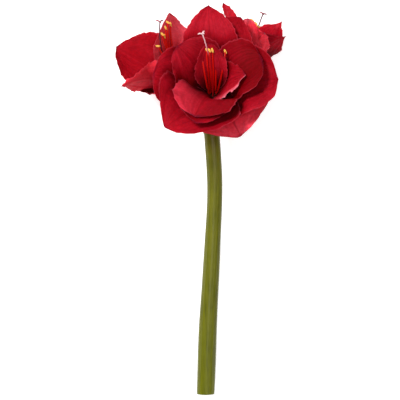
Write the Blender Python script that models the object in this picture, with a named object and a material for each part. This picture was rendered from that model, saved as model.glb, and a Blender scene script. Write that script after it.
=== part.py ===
# Cut amaryllis: one hollow flower stem that carries three red double blooms, lying on its back.
#
# The plant is drawn upright and flat in its own frame: x to the right, y up along the stem, z towards the
# eye, with the origin at the crown, where the flower stalks leave the stem. At the end everything is hung
# on one empty that lays the plant down, with y still running to the head and z now upwards.
# Lengths are in metres and angles in degrees.

import math

import bmesh
import bpy
import numpy as np
from mathutils import Vector
from mathutils.bvhtree import BVHTree

# Stem
STEM_LENGTH = 0.346
STEM_BOW = [(0.0, 0.0), (0.0042, -0.076), (0.0014, -0.150), (-0.0042, -0.250), (-0.0077, -STEM_LENGTH)]
STEM_RADII = [0.0104, 0.0099, 0.0098, 0.0103, 0.0109, 0.0111, 0.0116, 0.0119, 0.0117]
STEM_WALL = 0.0038
STEM_SIDES = 14
CROWN_THICK = 0.016
CROWN_TOP = -0.002
SCAR_DROP = 0.006
SCAR_RISE = 0.0007

# Flower stalks
STALK_RADIUS = 0.0043
STALK_SPREAD = 0.0055
OVARY_RADIUS = 0.0070
OVARY_LENGTH = 0.016
GAP = 0.0003

# Blooms
PETAL_THICK = 0.0010
PETAL_ROWS = 24
PETAL_COLUMNS = 16
KEPT_ROWS = [0, 2, 4, 7, 10, 13, 16, 19, 21, 23]
KEPT_COLUMNS = 8
PETAL_SPACE = 0.0020
PRESS_REACH = 0.020
PRESS_ROUNDS = 10
BASE_DROP = 0.014
BASE_RISE = 0.012
FILAMENT_RADIUS = 0.0010
ANTHER_LENGTH = 0.0056
ANTHER_RADIUS = 0.0013
STYLE_RADIUS = 0.0011
STIGMA_LENGTH = 0.0048

# How the plant lies
LAY_PITCH = 4.94
LAY_ROLL = -2.7

# Half width of a petal along its length, as shares of its greatest half width
OUTLINE_AT = [0.0, 0.12, 0.30, 0.48, 0.65, 0.80, 0.91, 0.97, 1.0]
ROUND_TIP = [0.12, 0.26, 0.72, 0.97, 1.0, 0.88, 0.62, 0.34, 0.0]
SHARP_TIP = [0.12, 0.26, 0.74, 1.0, 0.93, 0.64, 0.30, 0.10, 0.0]

# A petal leaves the throat in the direction turn (0 right, 90 up, seen from the front), first at the angle
# rise to the bloom's axis and at its tip at the angle flare. sway swings it sideways, lean and twist turn it
# round its own midrib, cup bends its cross-section at the base, the middle and the tip, ruffle waves its
# margins, point goes from a round tip at 0 to a sharp one at 1, and root is its start, out and forward.
PETAL = dict(turn=90, rise=10, flare=80, length=0.10, width=0.07, sway=0, lean=0, twist=0, cup=(70, 35, 25),
             ruffle=0.002, waves=2.0, phase=0.0, point=0.6, root=(0.006, 0.004))
OUTER = (0.008, 0.004)
INNER = (0.005, 0.006)

BLOOMS = {
    "front": dict(
        throat=(0.0017, 0.0346, 0.030),
        facing=(0.0, 0.50, 0.866),
        stalk_turn=90,
        petals=[
            dict(turn=103, rise=5, flare=45, length=0.079, width=0.047, sway=-9, lean=-4, cup=(70, 50, 40),
                 root=(0.004, 0.006), ruffle=0.001, phase=3.0),
            dict(turn=344, rise=5, flare=56, length=0.073, width=0.054, sway=17, lean=5, twist=4,
                 root=(0.004, 0.006), waves=3.0, phase=4.0),
            dict(turn=252, rise=16, flare=80, length=0.101, width=0.083, cup=(60, 24, 15), point=0.0,
                 root=(0.003, 0.007), ruffle=0.003, waves=2.6, phase=2.8),
            dict(turn=7, rise=8, flare=73, length=0.094, width=0.079, sway=6, lean=1, twist=3, point=-0.5,
                 root=INNER, phase=5.0),
            dict(turn=142, rise=8, flare=70, length=0.087, width=0.079, sway=-1, lean=-1, twist=-1, point=0.1,
                 root=INNER, phase=0.9),
            dict(turn=256, rise=18, flare=79, length=0.106, width=0.062, sway=-3, lean=2, cup=(60, 24, 20),
                 point=0.0, root=(0.007, 0.003), ruffle=0.003, waves=2.4, phase=1.2),
            dict(turn=252, rise=18, flare=107, length=0.111, width=0.120, sway=-41, lean=2, point=0.8,
                 root=(0.008, 0.002), phase=3.4),
            dict(turn=96, rise=8, flare=86, length=0.122, width=0.074, sway=-4, lean=-1, twist=-1,
                 cup=(60, 25, 20), point=0.8, root=OUTER),
            dict(turn=70, flare=85, length=0.112, width=0.079, sway=-8, lean=2, twist=2, point=0.8,
                 root=OUTER, phase=1.5),
            dict(turn=188, rise=14, flare=87, length=0.094, width=0.092, sway=-14, lean=-3, twist=-2, point=0.0,
                 root=OUTER, ruffle=0.003, phase=4.4),
            dict(turn=341, rise=14, flare=90, length=0.102, width=0.104, sway=22, lean=3, twist=2, point=0.1,
                 root=OUTER, ruffle=0.003, phase=0.6),
            dict(turn=291, rise=18, flare=114, length=0.093, width=0.130, sway=5, point=0.8,
                 root=(0.009, 0.001), phase=2.2),
        ],
        stamens=[(-0.0142, 0.0270, 0.062), (-0.0085, 0.0300, 0.070), (-0.0048, 0.0262, 0.073),
                 (-0.0010, 0.0278, 0.071), (0.0028, 0.0296, 0.068), (0.0152, 0.0308, 0.064)],
        style=(-0.0136, 0.0300, 0.103),
    ),
    "left": dict(
        throat=(-0.0280, 0.0525, -0.008),
        facing=(-0.75, 0.52, 0.41),
        stalk_turn=210,
        petals=[
            dict(turn=345, flare=50, length=0.064, width=0.044, phase=0.5, root=(0.003, 0.006)),
            dict(turn=35, flare=55, length=0.064, width=0.042, phase=2.6, root=(0.003, 0.006)),
            dict(turn=292, flare=55, length=0.106, width=0.052, sway=-10, lean=30, point=1.2,
                 ruffle=0.003, waves=2.5, phase=3.0),
            dict(turn=76, flare=65, length=0.099, width=0.066, sway=5, lean=46, twist=89, point=0.2, phase=2.0),
            dict(turn=179, flare=34, length=0.105, width=0.083, sway=-1, lean=4, twist=4, point=0.5,
                 ruffle=0.003, phase=1.0),
            dict(turn=222, flare=52, length=0.066, width=0.046, phase=4.0, root=OUTER),
            dict(turn=146, flare=90, length=0.094, width=0.060, phase=5.0, root=OUTER),
        ],
        stamens=[(0.0276, 0.0369, 0.081), (0.0244, 0.0457, 0.081), (0.0218, 0.0469, 0.075),
                 (0.0251, 0.0280, 0.080), (0.0231, 0.0286, 0.075), (0.0271, 0.0110, 0.078)],
        style=(0.0381, 0.0347, 0.0957),
    ),
    "right": dict(
        throat=(0.0346, 0.0628, -0.006),
        facing=(0.34, 0.93, 0.04),
        stalk_turn=330,
        petals=[
            dict(turn=193, flare=75, length=0.087, width=0.040, sway=6, lean=-8, twist=-10, phase=5.3),
            dict(turn=170, flare=63, length=0.092, width=0.037, sway=3, lean=2, twist=2, phase=0.3),
            dict(turn=107, flare=54, length=0.099, width=0.034, sway=21, lean=7, twist=10, point=0.9, phase=1.0),
            dict(turn=306, flare=45, length=0.083, width=0.057, sway=-8, lean=20, twist=7, point=1.2, phase=4.3),
            dict(turn=327, flare=40, length=0.101, width=0.047, sway=8, lean=2, twist=1, point=1.2, phase=3.3),
            dict(turn=22, flare=60, length=0.088, width=0.060, point=0.7, phase=2.3),
        ],
        stamens=[(-0.0038, 0.0093, 0.079), (-0.0075, 0.0055, 0.077), (-0.0112, 0.0017, 0.076),
                 (-0.0059, -0.0012, 0.074), (0.0006, 0.0030, 0.072), (-0.0101, 0.0091, 0.074)],
        style=(-0.0042, -0.0016, 0.091),
    ),
}


def unit(vector):
    vector = np.asarray(vector, float)
    return vector / np.linalg.norm(vector)


def ease(x):
    x = np.clip(x, 0.0, 1.0)
    return x * x * (3.0 - 2.0 * x)


def through(at, values, x):
    # Smooth curve through the values, never higher or lower than its neighbours
    at = np.asarray(at, float)
    values = np.asarray(values, float)
    x = np.asarray(x, float)
    step = np.diff(at)
    slope = np.diff(values) / step
    tangent = np.zeros_like(values)
    tangent[0] = slope[0]
    tangent[-1] = slope[-1]
    for i in range(1, len(at) - 1):
        if slope[i - 1] * slope[i] > 0.0:
            before = 2.0 * step[i] + step[i - 1]
            after = step[i] + 2.0 * step[i - 1]
            tangent[i] = (before + after) / (before / slope[i - 1] + after / slope[i])
    k = np.clip(np.searchsorted(at, x, "right") - 1, 0, len(step) - 1)
    t = (x - at[k]) / step[k]
    return ((2 * t**3 - 3 * t**2 + 1) * values[k] + (t**3 - 2 * t**2 + t) * step[k] * tangent[k]
            + (3 * t**2 - 2 * t**3) * values[k + 1] + (t**3 - t**2) * step[k] * tangent[k + 1])


def bezier(points, count):
    p = np.asarray(points, float)
    t = np.linspace(0.0, 1.0, count)[:, None]
    return (1 - t)**3 * p[0] + 3 * (1 - t)**2 * t * p[1] + 3 * (1 - t) * t**2 * p[2] + t**3 * p[3]


def bloom_frame(bloom):
    # Right, up and forward of a bloom, as seen from its front
    forward = unit(bloom["facing"])
    up = np.array([0.0, 1.0, 0.0])
    up = unit(up - up.dot(forward) * forward)
    return np.array([np.cross(up, forward), up, forward])


def bloom_point(bloom, local):
    return np.array(bloom["throat"]) + np.asarray(local, float) @ bloom_frame(bloom)


def petal_grid(bloom, values):
    # Points of the petal's middle surface, in rows from its root to its tip
    p = dict(PETAL, **values)
    right, up, forward = bloom_frame(bloom)
    turn = math.radians(p["turn"])
    out = math.cos(turn) * right + math.sin(turn) * up
    side = np.cross(forward, out)
    fine = 400
    s = np.linspace(0.0, 1.0, fine + 1)
    angle = np.radians(p["rise"] + (p["flare"] - p["rise"]) * s)[:, None]
    swing = np.radians(p["sway"] * s)[:, None]
    along = np.cos(angle) * forward + np.sin(angle) * (np.cos(swing) * out + np.sin(swing) * side)
    across = np.cos(swing) * side - np.sin(swing) * out
    rib = np.zeros((fine + 1, 3))
    rib[1:] = np.cumsum((along[1:] + along[:-1]) / 2.0, axis=0) * (p["length"] / fine)
    rib += bloom_point(bloom, (0.0, 0.0, 0.0)) + p["root"][0] * out + p["root"][1] * forward

    s = np.linspace(0.0, 1.0, PETAL_ROWS + 1)
    pick = np.round(s * fine).astype(int)
    rib, along, across = rib[pick], along[pick], across[pick]
    inward = np.cross(along, across)
    inward /= np.linalg.norm(inward, axis=1)[:, None]
    across = np.cross(inward, along)
    roll = np.radians(p["lean"] + p["twist"] * s)[:, None]
    width_way = np.cos(roll) * across + np.sin(roll) * inward
    depth_way = np.cos(roll) * inward - np.sin(roll) * across

    tip = np.array(ROUND_TIP) * (1.0 - p["point"]) + np.array(SHARP_TIP) * p["point"]
    half = p["width"] / 2.0 * through(OUTLINE_AT, tip, s)
    cup = np.radians(through([0.0, 0.5, 1.0], p["cup"], s))[:, None]
    v = np.linspace(-1.0, 1.0, PETAL_COLUMNS + 1)[None, :]
    arc = np.maximum(np.abs(cup * v), 1e-6)
    # A strip of unit width bent through the angle cup towards each margin
    flat = np.sign(v) * np.abs(v) * (np.sin(arc) / arc)
    lift = np.abs(v) * ((1.0 - np.cos(arc)) / arc)
    grow = ease((s - 0.12) / 0.35) * (1.0 - 0.5 * ease((s - 0.85) / 0.15))
    wave = p["ruffle"] * np.sin(2.0 * math.pi * p["waves"] * s[:, None] + p["phase"] + 1.9 * np.sign(v))
    wave = wave * np.abs(v)**2.2 * grow[:, None]
    return (rib[:, None, :] + (half[:, None] * flat)[..., None] * width_way[:, None, :]
            + (half[:, None] * lift + wave)[..., None] * depth_way[:, None, :])


def soften(field):
    # Every value is eased towards its neighbours
    for axis in (0, 1):
        padded = np.concatenate([field.take([0], axis), field, field.take([-1], axis)], axis)
        count = field.shape[axis]
        field = (padded.take(range(count), axis) + 2.0 * field + padded.take(range(2, count + 2), axis)) / 4.0
    return field


def widen(field):
    # Every value rises to the highest of its neighbours
    for axis in (0, 1):
        padded = np.concatenate([field.take([0], axis), field, field.take([-1], axis)], axis)
        count = field.shape[axis]
        field = np.maximum(np.maximum(padded.take(range(count), axis), field), padded.take(range(2, count + 2), axis))
    return field


def grid_tree(grids):
    verts = []
    faces = []
    for grid in grids:
        start = len(verts)
        rows, columns = grid.shape[:2]
        verts += [tuple(point) for point in grid.reshape(-1, 3)]
        for i in range(rows - 1):
            for j in range(columns - 1):
                a = start + i * columns + j
                faces += [(a, a + 1, a + columns), (a + 1, a + columns + 1, a + columns)]
    return BVHTree.FromPolygons(verts, faces)


def inner_side(grid):
    along = np.gradient(grid, axis=0)
    across = np.gradient(grid, axis=1)
    facing = np.cross(along, across)
    length = np.linalg.norm(facing, axis=2, keepdims=True)
    return facing / np.maximum(length, 1e-12)


def settle_petals(bloom):
    # The petals are listed from the innermost out. Each is pressed back where one before it is in the way
    placed = []
    hold = ease(np.linspace(0.0, 1.0, PETAL_ROWS + 1) / 0.16)[:, None]
    for values in bloom["petals"]:
        grid = petal_grid(bloom, values)
        if placed:
            tree = grid_tree(placed)
            inward = inner_side(grid)
            inward[-1] = inward[-2]
            press = np.zeros(grid.shape[:2])
            wanted = np.zeros_like(press)
            for _ in range(PRESS_ROUNDS):
                for at in np.ndindex(press.shape):
                    way = Vector(inward[at])
                    start = Vector(grid[at]) - way * (press[at] + PRESS_REACH)
                    hit = tree.ray_cast(start, way, PRESS_REACH + PETAL_SPACE)
                    if hit[0] is not None:
                        wanted[at] = max(wanted[at], press[at] + PRESS_REACH + PETAL_SPACE - hit[3])
                press = soften(soften(widen(wanted * hold)))
            grid = grid - inward * press[..., None]
            grid[-1] = grid[-1, PETAL_COLUMNS // 2]
        placed.append(grid)
    return placed


def material(name, colour, roughness):
    made = bpy.data.materials.new(name)
    made.use_nodes = True
    shader = made.node_tree.nodes["Principled BSDF"]
    shader.inputs["Base Color"].default_value = (*colour, 1.0)
    shader.inputs["Roughness"].default_value = roughness
    shader.inputs["Metallic"].default_value = 0.0
    return made


def add_object(name, verts, faces, slot):
    mesh = bpy.data.meshes.new(name)
    mesh.from_pydata([tuple(v) for v in verts], [], faces)
    mesh.materials.append(slot)
    made = bpy.data.objects.new(name, mesh)
    bpy.context.scene.collection.objects.link(made)
    work = bmesh.new()
    work.from_mesh(mesh)
    bmesh.ops.recalc_face_normals(work, faces=work.faces)
    work.to_mesh(mesh)
    work.free()
    mesh.shade_smooth()
    mesh.set_sharp_from_angle(angle=math.radians(50.0))
    return made


def apply_modifier(made, modifier):
    bpy.ops.object.select_all(action="DESELECT")
    made.select_set(True)
    bpy.context.view_layer.objects.active = made
    bpy.ops.object.modifier_apply(modifier=modifier.name)


def petal(name, grid, slot):
    # A sheet of triangles, closed by one fan at the tip, then given its thickness
    step = PETAL_COLUMNS // KEPT_COLUMNS
    verts = [point for row in grid[KEPT_ROWS] for point in row[::step]]
    verts.append(grid[-1, PETAL_COLUMNS // 2])
    wide = KEPT_COLUMNS + 1
    faces = []
    for i in range(len(KEPT_ROWS) - 1):
        for j in range(KEPT_COLUMNS):
            a = i * wide + j
            if j < KEPT_COLUMNS // 2:
                faces += [(a, a + 1, a + wide), (a + 1, a + wide + 1, a + wide)]
            else:
                faces += [(a, a + 1, a + wide + 1), (a, a + wide + 1, a + wide)]
    last = (len(KEPT_ROWS) - 1) * wide
    for j in range(KEPT_COLUMNS):
        faces.append((last + j, last + j + 1, len(verts) - 1))
    made = add_object(name, verts, faces, slot)
    solid = made.modifiers.new("thickness", "SOLIDIFY")
    solid.thickness = PETAL_THICK
    solid.offset = 0.0
    apply_modifier(made, solid)
    return made


def rod(name, points, radii, sides, slot):
    # A round closed body along a line of points, with one radius for each point
    points = np.asarray(points, float)
    along = np.gradient(points, axis=0)
    along /= np.linalg.norm(along, axis=1)[:, None]
    across = unit(np.cross(along[0], (0.31, 0.17, 0.94) if abs(along[0][2]) < 0.8 else (0.9, 0.1, 0.3)))
    verts = []
    for i, centre in enumerate(points):
        across = unit(across - across.dot(along[i]) * along[i])
        other = np.cross(along[i], across)
        for k in range(sides):
            a = 2.0 * math.pi * k / sides
            verts.append(centre + radii[i] * (math.cos(a) * across + math.sin(a) * other))
    faces = []
    for i in range(len(points) - 1):
        for k in range(sides):
            a = i * sides + k
            b = i * sides + (k + 1) % sides
            faces.append((a, b, b + sides, a + sides))
    faces.append(tuple(range(sides)))
    faces.append(tuple(range((len(points) - 1) * sides, len(points) * sides)))
    return add_object(name, verts, faces, slot)


def combine(made, others, operation):
    # One Boolean with all the other bodies, which are then taken away
    group = bpy.data.collections.new(made.name + "_group")
    for other in others:
        group.objects.link(other)
    cut = made.modifiers.new("combine", "BOOLEAN")
    cut.operation = operation
    cut.operand_type = "COLLECTION"
    cut.collection = group
    cut.solver = "EXACT"
    apply_modifier(made, cut)
    for other in others:
        bpy.data.objects.remove(other, do_unlink=True)
    bpy.data.collections.remove(group)
    work = bmesh.new()
    work.from_mesh(made.data)
    bmesh.ops.triangulate(work, faces=work.faces)
    work.to_mesh(made.data)
    work.free()
    return made


def stem(slot):
    # The centre line bows a little; the top is a firm crown and the cut end is open
    line_at = [-p[1] for p in STEM_BOW]
    line_x = [p[0] for p in STEM_BOW]
    depth = list(np.linspace(STEM_LENGTH, 0.022, 15)) + [0.012, 0.0085, 0.0065, 0.005, 0.003, -CROWN_TOP]
    points = [(float(through(line_at, line_x, max(d, 0.006))), -d, 0.0) for d in depth]
    radii = [float(through(np.linspace(0.0, STEM_LENGTH, len(STEM_RADII)), STEM_RADII, d)) for d in depth]
    radii[-1] -= 0.0012
    radii[-4] = radii[-4] + SCAR_RISE
    body = rod("scape", points, radii, STEM_SIDES, slot)
    inner = [(STEM_LENGTH + 0.01, 0), *[(d, 0) for d in np.linspace(STEM_LENGTH - 0.004, CROWN_THICK + 0.012, 8)],
             (CROWN_THICK + 0.005, 0.0022), (CROWN_THICK, 0.0048)]
    points = [(float(through(line_at, line_x, min(d, STEM_LENGTH))), -d, 0.0) for d, _ in inner]
    radii = [float(through(np.linspace(0.0, STEM_LENGTH, len(STEM_RADII)), STEM_RADII, min(d, STEM_LENGTH)))
             - STEM_WALL - less for d, less in inner]
    hollow = rod("hollow", points, radii, STEM_SIDES - 4, slot)
    return combine(body, [hollow], "DIFFERENCE")


def flower_stalk(name, bloom, slot):
    # From the crown to just under the bloom, swelling into the ovary
    turn = math.radians(bloom["stalk_turn"])
    foot = np.array([STALK_SPREAD * math.cos(turn), CROWN_TOP + GAP, STALK_SPREAD * math.sin(turn)])
    head = bloom_point(bloom, (0.0, 0.0, -BASE_DROP - GAP))
    forward = unit(bloom["facing"])
    reach = np.linalg.norm(head - foot)
    foot_end = foot + (0.0, 0.001, 0.0)
    head_end = head - forward * 0.001
    points = bezier([foot_end, foot_end + (0.0, reach * 0.38, 0.0), head_end - forward * reach * 0.42, head_end], 10)
    points = np.vstack([foot, points, head])
    run = np.concatenate([[0.0], np.cumsum(np.linalg.norm(np.diff(points, axis=0), axis=1))])
    left = (run[-1] - run) / OVARY_LENGTH
    radii = STALK_RADIUS + (OVARY_RADIUS - STALK_RADIUS) * ease((1.0 - left) / 0.7)
    return rod(name, points, radii, 10, slot)


def filament_line(bloom, tip, turn, count):
    # Leaves the throat forward, then rises to the anther
    root = np.array([0.0045 * math.cos(turn), 0.0045 * math.sin(turn), BASE_RISE - 0.004])
    tip = np.array(tip)
    bend = [root, root * (0.9, 0.9, 0.0) + tip * (0.25, 0.10, 0.45), root * (0.3, 0.3, 0.0) + tip * (0.8, 0.6, 0.85),
            tip]
    return bezier([bloom_point(bloom, b) for b in bend], count)


def anther(name, bloom, line, turn, slot):
    # A short grain of pollen sacs set across the end of its filament
    right, up, forward = bloom_frame(bloom)
    across = unit(0.5 * math.cos(turn) * right + up - 0.3 * forward)
    share = np.array([-0.95, -0.5, 0.5, 0.95])
    points = line[-1] + (share * ANTHER_LENGTH / 2.0)[:, None] * across
    return rod(name, points, ANTHER_RADIUS * np.sqrt(1.0 - share**2 * 0.85), 5, slot)


def bloom_body(name, bloom, slot):
    profile = [(-BASE_DROP, 0.0070), (-0.008, 0.0078), (0.000, 0.0098), (0.006, 0.0108), (0.0095, 0.0106),
               (BASE_RISE - 0.0006, 0.0080), (BASE_RISE, 0.0040)]
    points = [bloom_point(bloom, (0.0, 0.0, at)) for at, _ in profile]
    base = rod(name, points, [radius for _, radius in profile], 16, slot)
    pieces = [petal("petal", grid, slot) for grid in settle_petals(bloom)]
    for i, tip in enumerate(bloom["stamens"]):
        turn = math.radians(175.0 - 34.0 * i)
        line = filament_line(bloom, tip, turn, 7)
        radii = np.linspace(FILAMENT_RADIUS * 1.2, FILAMENT_RADIUS * 0.8, 7)
        pieces.append(rod("filament", line, radii, 4, slot))
        pieces.append(anther("anther", bloom, line, turn * 2.0, slot))
    return combine(base, pieces, "UNION")


def pistil(name, bloom, slot):
    # The style stands in the throat under the filaments and ends in three curled lobes
    side, up, forward = bloom["style"]
    root = (0.0, -0.0018, BASE_RISE + GAP)
    bend = [root, (side * 0.15, -0.004, forward * 0.45), (side * 0.65, up * 0.30, forward * 0.80),
            (side, up, forward)]
    line = bezier([bloom_point(bloom, b) for b in bend], 9)
    style = rod(name, line, np.linspace(STYLE_RADIUS * 1.1, STYLE_RADIUS * 0.85, 9), 6, slot)
    way = unit(line[-1] - line[-2])
    first = unit(np.cross(way, (0.2, 0.3, 0.9)))
    second = np.cross(way, first)
    lobes = []
    for k in range(3):
        a = math.radians(30.0 + 120.0 * k)
        out = math.cos(a) * first + math.sin(a) * second
        start = line[-1] - way * 0.0008
        lobe = bezier([start, start + way * STIGMA_LENGTH * 0.35 + out * STIGMA_LENGTH * 0.15,
                       start + way * STIGMA_LENGTH * 0.55 + out * STIGMA_LENGTH * 0.6,
                       start + way * STIGMA_LENGTH * 0.30 + out * STIGMA_LENGTH], 4)
        lobes.append(rod("lobe", lobe, np.array([0.85, 0.8, 0.7, 0.45]) * STYLE_RADIUS, 4, slot))
    return combine(style, lobes, "UNION")


def lay_down(pieces):
    # One empty turns the plant onto its back and sets it on the ground, middle over the origin
    pose = bpy.data.objects.new("resting_pose", None)
    bpy.context.scene.collection.objects.link(pose)
    for piece in pieces:
        piece.parent = pose
    pose.rotation_euler = (math.radians(LAY_PITCH), math.radians(LAY_ROLL), 0.0)
    bpy.context.view_layer.update()
    corners = np.array([piece.matrix_world @ v.co for piece in pieces for v in piece.data.vertices])
    low, high = corners.min(axis=0), corners.max(axis=0)
    pose.location = (-(low[0] + high[0]) / 2.0, -(low[1] + high[1]) / 2.0, -low[2])
    bpy.context.view_layer.update()


def main():
    for old in list(bpy.data.objects):
        bpy.data.objects.remove(old, do_unlink=True)
    green = material("stem_green", (0.21, 0.23, 0.05), 0.45)
    pieces = [stem(green)]
    for side, bloom in BLOOMS.items():
        stalk_green = material(side + "_stalk_green", (0.24, 0.27, 0.06), 0.50)
        red = material(side + "_petal_red", (0.46, 0.012, 0.022), 0.50)
        pink = material(side + "_pistil_pink", (0.80, 0.40, 0.40), 0.50)
        pieces.append(flower_stalk(side + "_pedicel", bloom, stalk_green))
        pieces.append(bloom_body(side + "_bloom", bloom, red))
        pieces.append(pistil(side + "_pistil", bloom, pink))
    lay_down(pieces)


main()
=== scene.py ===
import math

import bpy
import numpy as np
from mathutils import Euler, Matrix, Vector
from mathutils.bvhtree import BVHTree


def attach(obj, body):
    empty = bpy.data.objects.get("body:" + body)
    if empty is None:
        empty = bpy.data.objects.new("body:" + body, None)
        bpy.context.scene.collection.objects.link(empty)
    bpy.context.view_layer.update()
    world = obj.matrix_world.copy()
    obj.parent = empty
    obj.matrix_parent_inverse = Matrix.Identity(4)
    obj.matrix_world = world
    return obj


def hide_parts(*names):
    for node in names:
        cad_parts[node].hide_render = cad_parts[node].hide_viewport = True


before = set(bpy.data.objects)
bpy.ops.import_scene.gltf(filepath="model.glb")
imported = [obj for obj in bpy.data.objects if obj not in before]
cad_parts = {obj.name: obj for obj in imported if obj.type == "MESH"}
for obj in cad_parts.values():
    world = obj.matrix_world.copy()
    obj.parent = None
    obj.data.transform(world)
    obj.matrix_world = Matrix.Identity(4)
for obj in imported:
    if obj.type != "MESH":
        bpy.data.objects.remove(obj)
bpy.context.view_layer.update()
bpy.ops.object.select_all(action="DESELECT")
print("frame loaded,", len(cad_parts), "nodes")

# The plant is modelled upright: x right, y up the stem, z to the eye, zero at the crown.
# This pose lays it on its back, as the CAD has it.
pose = {"pitch": 4.94, "roll": -2.7, "at": (0.01375, 0.09350, 0.04177)}
layDown = Matrix.Translation(pose["at"]) @ Euler(
    (math.radians(pose["pitch"]), math.radians(pose["roll"]), 0)).to_matrix().to_4x4()


# small helpers for curves and vectors
def unit(vector):
    vector = np.asarray(vector, float)
    return vector / np.linalg.norm(vector)


def ease(x):
    x = np.clip(x, 0, 1)
    return x * x * (3 - 2 * x)


def through(at, values, x):
    # smooth curve through the values that never overshoots them
    at, values, x = np.asarray(at, float), np.asarray(values, float), np.asarray(x, float)
    step = np.diff(at)
    slope = np.diff(values) / step
    tangent = np.zeros_like(values)
    tangent[0], tangent[-1] = slope[0], slope[-1]
    for i in range(1, len(at) - 1):
        if slope[i - 1] * slope[i] > 0:
            before, after = 2 * step[i] + step[i - 1], step[i] + 2 * step[i - 1]
            tangent[i] = (before + after) / (before / slope[i - 1] + after / slope[i])
    k = np.clip(np.searchsorted(at, x, "right") - 1, 0, len(step) - 1)
    t = (x - at[k]) / step[k]
    return ((2 * t**3 - 3 * t**2 + 1) * values[k] + (t**3 - 2 * t**2 + t) * step[k] * tangent[k]
            + (3 * t**2 - 2 * t**3) * values[k + 1] + (t**3 - t**2) * step[k] * tangent[k + 1])


def bezierPoints(points, count):
    p = np.asarray(points, float)
    t = np.linspace(0, 1, count)[:, None]
    return (1 - t)**3 * p[0] + 3 * (1 - t)**2 * t * p[1] + 3 * (1 - t) * t**2 * p[2] + t**3 * p[3]


# node helpers
def newMaterial(name):
    made = bpy.data.materials.new(name)
    made.use_nodes = True
    return made, made.node_tree, made.node_tree.nodes["Principled BSDF"]


def setSockets(node, values):
    # each value is a number, a colour or another node's output
    for key, value in values.items():
        if isinstance(value, bpy.types.NodeSocket):
            node.id_data.links.new(value, node.inputs[key])
        else:
            node.inputs[key].default_value = value


def addNode(tree, kind, **values):
    node = tree.nodes.new("ShaderNode" + kind)
    for key, value in values.items():
        if key in node.inputs:
            setSockets(node, {key: value})
        else:
            setattr(node, key, value)
    return node


def objectPlace(tree):
    return addNode(tree, "TexCoord").outputs["Object"]


def storedValue(tree, name):
    return addNode(tree, "Attribute", attribute_name=name).outputs["Fac"]


def addPattern(tree, source, kind, **values):
    # the outputs of a texture or a Mapping node that reads the source
    return addNode(tree, kind, Vector=source, **values).outputs


def addStreaks(tree, source, stretch, **values):
    # noise drawn out along a stem or a petal
    stretched = addPattern(tree, source, "Mapping", Scale=stretch)[0]
    return addPattern(tree, stretched, "TexNoise", Scale=1, **values)


def addMath(tree, source, operation, *values, clamp=False):
    node = addNode(tree, "Math", operation=operation, use_clamp=clamp)
    tree.links.new(source, node.inputs[0])
    for socket, value in zip(node.inputs[1:], values):
        socket.default_value = value
    return node.outputs[0]


def addRamp(tree, source, stops):
    # each stop is a place with a colour, or with one number for a grey
    ramp = tree.nodes.new("ShaderNodeValToRGB")
    elements = ramp.color_ramp.elements
    while len(elements) < len(stops):
        elements.new(0.5)
    for element, (at, colour) in zip(elements, stops):
        element.position = at
        element.color = (*colour, 1) if isinstance(colour, tuple) else (colour, colour, colour, 1)
    tree.links.new(source, ramp.inputs[0])
    return ramp.outputs[0]


def addMix(tree, share, first, second, blend="MIX"):
    mix = tree.nodes.new("ShaderNodeMix")
    mix.data_type = "RGBA"
    mix.blend_type = blend
    for socket, value in zip((mix.inputs[0], mix.inputs[6], mix.inputs[7]), (share, first, second)):
        if isinstance(value, bpy.types.NodeSocket):
            tree.links.new(value, socket)
        else:
            socket.default_value = value if isinstance(value, float) else (*value, 1)
    return mix.outputs[2]


def addMasked(tree, source, low, high, first, second, blend="MIX"):
    # the second colour takes over as the source goes from low to high, each a place and a strength
    return addMix(tree, addRamp(tree, source, [low, high]), first, second, blend)


def addBump(tree, height, strength, distance):
    return addNode(tree, "Bump", Strength=strength, Distance=distance, Height=height).outputs[0]


# mesh helpers
mergeGap = 0.00001


def setActive(piece):
    bpy.ops.object.select_all(action="DESELECT")
    piece.select_set(True)
    bpy.context.view_layer.objects.active = piece


def applyModifier(piece, kind, **values):
    setActive(piece)
    modifier = piece.modifiers.new(kind.lower(), kind)
    for key, value in values.items():
        setattr(modifier, key, value)
    bpy.ops.object.modifier_apply(modifier=modifier.name)


def vertexArray(piece):
    places = np.zeros(len(piece.data.vertices) * 3)
    piece.data.vertices.foreach_get("co", places)
    return places.reshape(-1, 3)


def setVertices(piece, places):
    piece.data.vertices.foreach_set("co", np.asarray(places, float).ravel())
    piece.data.update()


def startEditing():
    bpy.ops.object.mode_set(mode="EDIT")
    bpy.ops.mesh.select_all(action="SELECT")


def closeEditing():
    bpy.ops.mesh.normals_make_consistent(inside=False)
    bpy.ops.object.mode_set(mode="OBJECT")


def pullRing(move, grow, centre):
    # extrudes the selected ring and resizes what came out
    bpy.ops.mesh.extrude_region_move(TRANSFORM_OT_translate={"value": move})
    bpy.ops.transform.resize(value=grow, center_override=centre)


def joinPieces(name, pieces):
    setActive(pieces[0])
    for piece in pieces:
        piece.select_set(True)
    if len(pieces) > 1:
        bpy.ops.object.join()
    pieces[0].name = name
    pieces[0].data.name = name
    return pieces[0]


def finishPiece(piece, materials, nodes=(), smooth=40):
    # materials on, smooth shading, and its place in the row frame put into the mesh
    if materials:
        piece.data.materials.clear()
        for material in materials:
            piece.data.materials.append(material)
    piece.data.transform(layDown)
    setActive(piece)
    bpy.ops.object.shade_smooth_by_angle(angle=math.radians(smooth))
    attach(piece, "root")
    if nodes:
        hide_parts(*nodes)
    return piece


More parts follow.
